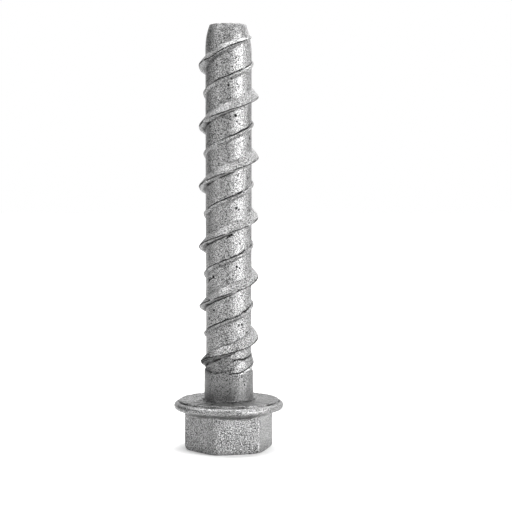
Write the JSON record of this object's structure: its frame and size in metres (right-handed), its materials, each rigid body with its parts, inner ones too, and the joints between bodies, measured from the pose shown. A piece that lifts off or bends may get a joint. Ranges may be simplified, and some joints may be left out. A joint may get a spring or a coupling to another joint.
{
  "type": "concrete screw",
  "caption": "Self-tapping concrete screw with a serrated hexagon flange head and a coarse high-low thread up to a blunt tip.",
  "frame": {"origin": "centre of the hexagon head's outer face, on the floor that the screw stands on", "axes": "+Z along the screw's own axis from the head to the tip; +X and +Y lie in the head's outer face, and the thread's start and the hexagon are set by angles from +X"},
  "size_m": [0.0264, 0.0264, 0.1019],
  "materials": {
    "galvanised_steel": "matt zinc coating, finely mottled grey with small dark pits"
  },
  "bodies": {
    "root": {"concrete_screw": "galvanised_steel"}
  },
  "joints": []
}
